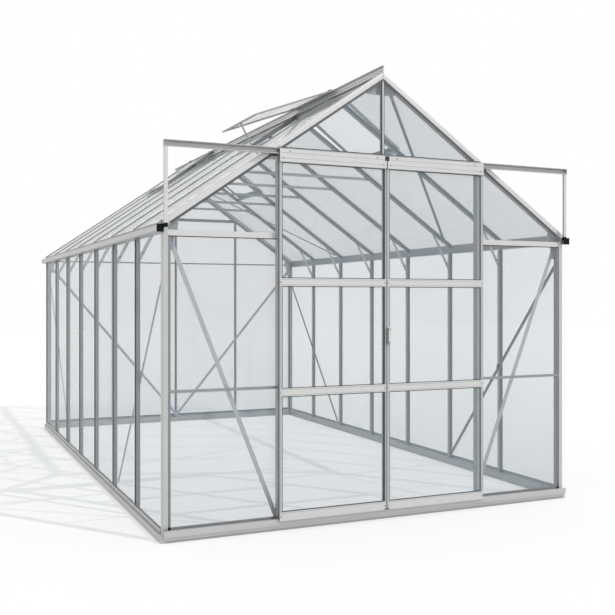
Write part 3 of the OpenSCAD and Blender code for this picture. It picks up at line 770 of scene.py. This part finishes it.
class DoorSeals(bpy.types.Operator):
    """Brush seal between the doors, rubber at their outer edges and round their panes"""

    bl_idname = "greenhouse.door_seals"
    bl_label = "Door seals"

    def execute(self, context):
        rubber = bpy.data.materials["seal_rubber"]
        half = DOOR_RAIL_H / 2
        mids = [(z - half, z + half) for z in DOOR_RAILS_Z]
        levels = ((STILE_LOW.z, mids[0][0]), (mids[0][1], mids[1][0]), (mids[1][1], STILE_HIGH.z))
        x0, x1 = DOOR_LOW.x, DOOR_HIGH.x
        width = 0.0035
        for side, body in ((-1, "door_left"), (1, "door_right")):
            parts = []
            for low, high in levels:
                a, b = x0 + STILE_W, x1 - STILE_W
                z0, z1 = low + 0.001, high - 0.001
                for p, q in (
                    ((a, z0), (a + width, z1)), ((b - width, z0), (b, z1)),
                    ((a + width, z0), (b - width, z0 + width)), ((a + width, z1 - width), (b - width, z1)),
                ):
                    xs = sorted((side * p[0], side * q[0]))
                    parts.append(bar((xs[0], LEAF_Y + 0.001, p[1]), (xs[1], LEAF_Y + 0.0039, q[1])))
                if side < 0:
                    outer = (-x0 - STILE_W + 0.0005, LEAF_Y - 0.0012, z0)
                    parts.append(bar(outer, (-x0 - STILE_W / 2, LEAF_Y, z1)))
            xs = sorted((side * x1, side * (x1 + 0.002)))
            parts.append(bar((xs[0], LEAF_Y + 0.001, STILE_LOW.z), (xs[1], LEAF_Y + 0.009, STILE_HIGH.z)))
            if side > 0:
                lip = bar((-x0 + 0.0006, LEAF_Y + 0.002, STILE_LOW.z), (x0, LEAF_Y + 0.008, STILE_HIGH.z))
                pale = bpy.data.materials["seal_pale"]
                finish_piece(joined([lip], "door_right_lip"), pale, body)
            finish_piece(joined(parts, body + "_seals"), rubber, body)
        return {"FINISHED"}


class DoorDetails(bpy.types.Operator):
    """Ribs and screws of the door rails, ends of the top rails and marks of the handle"""

    bl_idname = "greenhouse.door_details"
    bl_label = "Door details"

    def execute(self, context):
        grey = bpy.data.materials["seal_grey"]
        screws = bpy.data.materials["rib_metal"]
        rubber = bpy.data.materials["seal_rubber"]
        rib, proud = sizes().rib, 0.0007
        x0, x1 = DOOR_LOW.x, DOOR_HIGH.x
        fascia, face = DOOR_LOW.y, LEAF_Y - 0.003
        top, foot = DOOR_HIGH.z, DOOR_LOW.z
        half = DOOR_RAIL_H / 2
        lines = [(fascia, top - 0.0235), (fascia, top - 0.052), (face, foot + 0.044)]
        for z in DOOR_RAILS_Z:
            lines += [(face, z + half - 0.006), (face, z - half + 0.006)]
        pattern = screw_pattern(SMALL_SCREW)
        for side, body in ((-1, "door_left"), (1, "door_right")):
            xs = sorted((side * (x0 + 0.002), side * (x1 - 0.002)))
            ribs = [bar((xs[0], y - proud, z - rib / 2), (xs[1], y, z + rib / 2), 0.0003) for y, z in lines]
            lips = [(fascia, top - 0.0015), (fascia, top - 0.0725), (face, foot + 0.0015)]
            for y, z in lips:
                ribs.append(bar((xs[0], y - 2 * proud, z - 0.0015), (xs[1], y, z + 0.0015), 0.0004))
            finish_piece(joined(ribs, body + "_ribs"), screws, body)
            places = []
            for x, z in ((x0 + 0.020, top - 0.052), (x0 + 0.060, top - 0.015),
                         (x1 - 0.020, top - 0.052), (x1 - 0.060, top - 0.015)):
                places.append(facing((side * x, fascia - 0.0002, z), (0, -1, 0)))
            for z in DOOR_RAILS_Z:
                places.append(facing((side * (x1 - STILE_W / 2), face - 0.0002, z), (0, -1, 0)))
                places.append(facing((side * (x0 + STILE_W / 2), face - 0.0002, z), (0, -1, 0)))
            for x in (x0 + STILE_W / 2, x1 - STILE_W / 2):
                places.append(facing((side * x, face - 0.0002, foot + 0.025), (0, -1, 0)))
            master = pattern.copy()
            master.data = pattern.data.copy()
            context.scene.collection.objects.link(master)
            finish_piece(joined(copies(master, places), body + "_screws"), screws, body)
            xs = sorted((side * (x0 + 0.0005), side * (x0 + 0.010)))
            stop = bar((xs[0], fascia - 0.0022, top - 0.030), (xs[1], fascia, top - 0.004), 0.0008)
            plug = bar((xs[0], face - 0.0012, foot + 0.004), (xs[1], face, foot + 0.012), 0.0005)
            finish_piece(joined([stop, plug], body + "_stops"), rubber, body)
        bpy.data.objects.remove(pattern)

        a, b = HANDLE_LOW, HANDLE_HIGH
        marks = []
        for z in (a.z + 0.012, b.z - 0.016):
            marks.append(bar((a.x + 0.002, a.y - 0.0002, z), (b.x - 0.002, a.y, z + 0.004), 0.0001))
        finish_piece(joined(marks, "handle_marks"), grey, "door_right")
        return {"FINISHED"}


class TrackDetails(bpy.types.Operator):
    """Rubber over the doorway, bumpers and end caps of the door track, and painted shade lines along its
    face
    """

    bl_idname = "greenhouse.track_details"
    bl_label = "Track details"

    def execute(self, context):
        rubber = bpy.data.materials["seal_rubber"]
        grey = bpy.data.materials["seal_grey"]
        low, high = TRACK_LOW, TRACK_HIGH
        reach = DOOR_HIGH.x - 0.004
        strips = [bar((-reach, high.y + 0.003, high.z), (reach, high.y + 0.007, high.z + 0.010), 0.0008)]
        for side in (-1, 1):
            xs = sorted((side * (QUARTER + 0.014), side * (QUARTER + 0.050)))
            y_end = along(GABLE_Y) - 0.001
            strips.append(bar((xs[0], high.y + 0.002, low.z - 0.010), (xs[1], y_end, low.z), 0.001))
        finish_piece(joined(strips, "track_seals"), rubber)
        caps, lines = [], []
        for side in (-1, 1):
            xs = sorted((side * WALL_X, side * (WALL_X + 0.0015)))
            caps.append(bar((xs[0], low.y, low.z), (xs[1], high.y, high.z), 0.0005))
            # Painted shade: thin grey lines along the top and bottom of the track's face.
            xs = sorted((side * (DOOR_HIGH.x + 0.002), side * WALL_X))
            for z in (low.z + 0.0045, high.z - 0.0045):
                lines.append(bar((xs[0], low.y - 0.0008, z), (xs[1], low.y, z + 0.0012), 0.0003))
        finish_piece(joined(caps, "track_caps"), bpy.data.materials["light_plastic"])
        finish_piece(joined(lines, "track_lines"), grey)
        return {"FINISHED"}


class Fasteners(bpy.types.Operator):
    """Bolts of the plates, braces, ties and brackets, and the clips where braces cross bars"""

    bl_idname = "greenhouse.fasteners"
    bl_label = "Bolts and clips"

    def execute(self, context):
        steel = bpy.data.materials["bolt_steel"]
        places = []
        inside = INNER + 0.003
        x0 = WALL_X - INNER
        for y, way in ((GABLE_Y + inside, 1), (LENGTH - GABLE_Y - inside, -1)):
            for side in (-1, 1):
                for dx, dz in ((0.014, 0.140), (0.016, 0.040), (0.050, 0.010)):
                    places.append(facing((side * (x0 - dx), along(y), EAVES_Z - dz), (0, way, 0)))
                places.append(facing((side * 0.062, along(y), RIDGE_Z - 0.095), (0, way, 0)))
            places.append(facing((0, along(y), RIDGE_Z - 0.105), (0, way, 0)))
        for side in (-1, 1):
            foot = (side * (POST_X1 - 0.007), along(GABLE_Y + inside + 0.0025), 0.071)
            places.append(facing(foot, (0, 1, 0)))
            foot = (side * 0.0165, along(LENGTH - GABLE_Y - inside - 0.0025), 0.089)
            places.append(facing(foot, (0, -1, 0)))
            for k in range(1, BAYS):
                y = GABLE_Y + k * BAY - 0.0015
                knee = ((WALL_X - 0.050, EAVES_Z - 0.138), (WALL_X - 0.178, EAVES_Z + 0.107))
                for x, z in (*knee, (TIES_HIGH.x - 0.020, TIES_LOW.z + 0.010)):
                    places.append(facing((side * x, along(y), z), (0, -1, 0)))
            x = WALL_X - INNER - 0.0025
            for y in (GABLE_Y + 0.0395, LENGTH - GABLE_Y - 0.0395):
                places.append(facing((side * x, along(y), EAVES_Z - 0.206), (-side, 0, 0)))
        finish_piece(joined(copies(screw_pattern(sizes().bolt), places), "bolts"), steel)

        places = []
        for side in (-1, 1):
            for x in (BASE_X - 0.017, BASE_X - 0.036):
                places.append(facing((side * x, along(0), 0.020), (0, -1, 0)))
                places.append(facing((side * x, along(LENGTH), 0.020), (0, 1, 0)))
        finish_piece(joined(copies(screw_pattern(SMALL_SCREW), places), "base_screws"), steel)

        clips = []
        for side in (-1, 1):
            for k in (1, BAYS - 1):
                x = side * (WALL_X - INNER - 0.0045)
                y, z = along(GABLE_Y + k * BAY), 0.774
                low, high = (x - 0.002, y - 0.013, z - 0.016), (x + 0.002, y + 0.013, z + 0.016)
                clips.append(bar(low, high, 0.0008))
        finish_piece(joined(clips, "brace_clips"), bpy.data.materials["seal_rubber"])
        return {"FINISHED"}


class FrameLines(bpy.types.Operator):
    """Ribs of the ground frame and the gutters, painted shade lines at the lips of the ridge and along the
    feet of the bars
    """

    bl_idname = "greenhouse.frame_lines"
    bl_label = "Frame ribs"

    def execute(self, context):
        rib = sizes().rib
        metal_rib = bpy.data.materials["rib_metal"]
        grey = bpy.data.materials["seal_grey"]
        x_end, y_end = BASE_X - 0.025, LENGTH - 0.050
        parts, flanks = [], []
        proud = 0.0008
        for z in (0.0035, 0.0140, 0.0385):
            z0, z1 = z - rib / 2, z + rib / 2
            for y in (-proud, LENGTH):
                parts.append(bar((-x_end, along(y), z0), (x_end, along(y + proud), z1), 0.0003))
            for side in (-1, 1):
                xs = sorted((side * BASE_X, side * (BASE_X + proud)))
                flanks.append(bar((xs[0], along(0.050), z0), (xs[1], along(y_end), z1), 0.0003))
        finish_piece(joined(parts, "base_ribs"), metal_rib)
        # Painted light: the ribs on the flanks take the lighter gutter finish, not the rib finish.
        finish_piece(joined(flanks, "flank_ribs"), bpy.data.materials["gutter_metal"])

        parts = []
        gutter_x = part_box("gutter_right")[1].x
        floor_z, lip_z = BEAM_LOW, EAVES_Z - 0.026
        for side in (-1, 1):
            xs = sorted((side * gutter_x, side * (gutter_x + 0.0012)))
            for z in (lip_z - 0.0025, floor_z + 0.004):
                low, high = (xs[0], along(0.001), z - 0.0015), (xs[1], along(LENGTH - 0.001), z + 0.0015)
                parts.append(bar(low, high, 0.0004))
        finish_piece(joined(parts, "gutter_lips"), metal_rib)

        # Painted shade: thin grey lines on both faces of the ridge fin, one near its top and one near its
        # foot.
        parts = []
        y0, y1 = along(GABLE_Y + 0.001), along(LENGTH - GABLE_Y - 0.001)
        for side in (-1, 1):
            xs = sorted((side * 0.002, side * 0.0032))
            for z in (RIDGE_Z + 0.0312, RIDGE_Z + 0.0080):
                parts.append(bar((xs[0], y0, z), (xs[1], y1, z + 0.0018), 0.0004))
        finish_piece(joined(parts, "ridge_lines"), grey)

        # Painted shade: thin grey strips along the edges of the inner feet of the wall bars and rafters.
        parts = []
        x = WALL_X - INNER
        for side in (-1, 1):
            xs = sorted((side * x, side * (x - FOOT_LINE)))
            for k in range(1, BAYS):
                for edge in (-FOOT / 2 + 0.0005, FOOT / 2 - 0.0055):
                    y = GABLE_Y + k * BAY + edge
                    foot = (xs[0], along(y), FLOOR_Z + 0.01)
                    head = (xs[1], along(y + 0.005), BEAM_LOW - 0.01)
                    parts.append(bar(foot, head, 0.0001))
                    low = y if side > 0 else -y - 0.005
                    line = bar((0.08, low, -INNER - FOOT_LINE), (SLOPE - 0.07, low + 0.005, -INNER), 0.0001)
                    line.data.transform(slope_matrix(side))
                    parts.append(line)
        finish_piece(joined(parts, "foot_lines"), grey)
        return {"FINISHED"}


class VentFittings(bpy.types.Operator):
    """Hinge ends, rubber edges and stay knobs of the roof vents"""

    bl_idname = "greenhouse.vent_fittings"
    bl_label = "Vent fittings"

    def execute(self, context):
        rubber = bpy.data.materials["seal_rubber"]
        parts = []
        for side in (-1, 1):
            for bay in VENT_BAYS:
                for y in (0.004, VENT_WIDTH - 0.016):
                    corner = vent_point(side, bay, 0.025, y + 0.006, 0.010)
                    block = bar((-0.011, -0.006, -0.003), (0.011, 0.006, 0.004), 0.0012)
                    turn = Matrix.Rotation(PITCH - vent_angle(side, bay), 4, "Y")
                    if side < 0:
                        turn = Matrix.Rotation(math.pi, 4, "Z") @ turn
                    block.data.transform(Matrix.Translation(corner) @ turn)
                    parts.append(block)
                middle = GABLE_Y + (bay - 0.5) * BAY + 0.0015
                sill_u = HINGE_U + VENT_LENGTH - 0.014
                knob = round_piece(0.009, 0.016, 16, base=-0.008, edge=0.002)
                knob.data.transform(facing(on_slope(side, sill_u - 0.123, middle, -0.072), (0, 1, 0)))
                parts.append(knob)
                pin = round_piece(0.0045, 0.012, 12, base=-0.006, edge=0.0008)
                pin.data.transform(facing(on_slope(side, sill_u - 0.004, middle, -0.008), (0, 1, 0)))
                parts.append(pin)
                width = 0.004
                u0, u1 = 0.026, VENT_LENGTH - 0.026
                for ya, yb, ua, ub in (
                    (0.026, 0.026 + width, u0, u1), (VENT_WIDTH - 0.026 - width, VENT_WIDTH - 0.026, u0, u1),
                    (0.030, VENT_WIDTH - 0.030, u0, u0 + width), (0.030, VENT_WIDTH - 0.030, u1 - width, u1),
                ):
                    strip = bar((ua, ya, 0.006), (ub, yb, 0.0086), 0.0005)
                    strip.data.transform(vent_matrix(side, bay))
                    parts.append(strip)
        finish_piece(joined(parts, "vent_fittings"), rubber)
        return {"FINISHED"}


class Stage(bpy.types.Operator):
    """Pale floor, plain soft light and the camera"""

    bl_idname = "greenhouse.stage"
    bl_label = "Stage"

    def execute(self, context):
        scene = context.scene
        clear_selection()
        bpy.ops.mesh.primitive_plane_add(size=60, location=(0, 0, 0))
        floor = context.object
        floor.name = "floor"
        material = bpy.data.materials.new("floor_paint")
        material.use_nodes = True
        nodes, links = material.node_tree.nodes, material.node_tree.links
        nodes.clear()
        end = nodes.new("ShaderNodeOutputMaterial")
        lit = nodes.new("ShaderNodeBsdfDiffuse")
        lit.inputs["Color"].default_value = (0.58, 0.55, 0.52, 1)
        glow = nodes.new("ShaderNodeEmission")
        glow.inputs["Color"].default_value = (0.417, 0.448, 0.479, 1)
        rays = nodes.new("ShaderNodeLightPath")
        camera_ray, glossy_ray = rays.outputs["Is Camera Ray"], rays.outputs["Is Glossy Ray"]
        seen = math_node(nodes, links, "MAXIMUM", camera_ray, glossy_ray)
        seen = math_node(nodes, links, "MAXIMUM", seen, rays.outputs["Is Transmission Ray"])
        links.new(seen, glow.inputs["Strength"])
        add = nodes.new("ShaderNodeAddShader")
        links.new(lit.outputs[0], add.inputs[0])
        links.new(glow.outputs[0], add.inputs[1])
        links.new(add.outputs[0], end.inputs["Surface"])
        floor.data.materials.append(material)

        world = bpy.data.worlds.new("studio")
        scene.world = world
        world.use_nodes = True
        nodes, links = world.node_tree.nodes, world.node_tree.links
        back = nodes["Background"]
        rays = nodes.new("ShaderNodeLightPath")
        camera_ray, glossy_ray = rays.outputs["Is Camera Ray"], rays.outputs["Is Glossy Ray"]
        seen = math_node(nodes, links, "MAXIMUM", camera_ray, glossy_ray)
        seen = math_node(nodes, links, "MAXIMUM", seen, rays.outputs["Is Transmission Ray"])
        level = math_node(nodes, links, "MULTIPLY_ADD", seen, 0.25)
        level.node.inputs[2].default_value = 0.75
        back.inputs["Color"].default_value = (1, 1, 1, 1)
        links.new(level, back.inputs["Strength"])

        clear_selection()
        bpy.ops.object.light_add(type="SUN", location=(4, -3, 6))
        sun = context.object
        sun.name = "sun"
        sun.data.energy = 1.3
        sun.data.angle = math.radians(0.8)
        sun.rotation_euler = Vector((0.60, -0.80, 1.0)).to_track_quat("Z", "Y").to_euler()

        clear_selection()
        bpy.ops.object.camera_add(location=(-2.414, -6.530, 1.236))
        camera = context.object
        camera.name = "camera"
        camera.rotation_euler = (math.radians(90), 0, math.radians(-23.98))
        camera.data.lens = 51.63
        camera.data.sensor_width = 36
        camera.data.shift_y = -0.0139
        scene.camera = camera
        scene.view_settings.view_transform = "Standard"
        scene.cycles.transparent_max_bounces = 48
        return {"FINISHED"}


class GreenhousePanel(bpy.types.Panel):
    """Steps that finish the greenhouse"""

    bl_idname = "VIEW3D_PT_greenhouse"
    bl_label = "Greenhouse"
    bl_space_type = "VIEW_3D"
    bl_region_type = "UI"
    bl_category = "Greenhouse"

    def draw(self, context):
        for operator in STEPS:
            self.layout.operator(operator.bl_idname)
        for group in (context.scene.greenhouse_colours, context.scene.greenhouse_sizes):
            for name in group.bl_rna.properties.keys():
                if name not in ("rna_type", "name"):
                    self.layout.prop(group, name)


STEPS = (
    FinishMetal, FinishGlass, FinishPlastic, GlazingStrips, DoorSeals,
    DoorDetails, TrackDetails, Fasteners, FrameLines, VentFittings, Stage,
)
GROUPS = (GreenhouseColours, GreenhouseSizes)


def register():
    for cls in (*GROUPS, *STEPS, GreenhousePanel):
        bpy.utils.register_class(cls)
    bpy.types.Scene.greenhouse_colours = bpy.props.PointerProperty(type=GreenhouseColours)
    bpy.types.Scene.greenhouse_sizes = bpy.props.PointerProperty(type=GreenhouseSizes)


def unregister():
    del bpy.types.Scene.greenhouse_sizes
    del bpy.types.Scene.greenhouse_colours
    for cls in reversed((*GROUPS, *STEPS, GreenhousePanel)):
        bpy.utils.unregister_class(cls)


def main():
    register()
    bpy.ops.greenhouse.finish_metal()
    bpy.ops.greenhouse.finish_glass()
    bpy.ops.greenhouse.finish_plastic()
    bpy.ops.greenhouse.glazing_strips()
    bpy.ops.greenhouse.door_seals()
    bpy.ops.greenhouse.door_details()
    bpy.ops.greenhouse.track_details()
    bpy.ops.greenhouse.fasteners()
    bpy.ops.greenhouse.frame_lines()
    bpy.ops.greenhouse.vent_fittings()
    bpy.ops.greenhouse.stage()


if __name__ == "__main__":
    main()
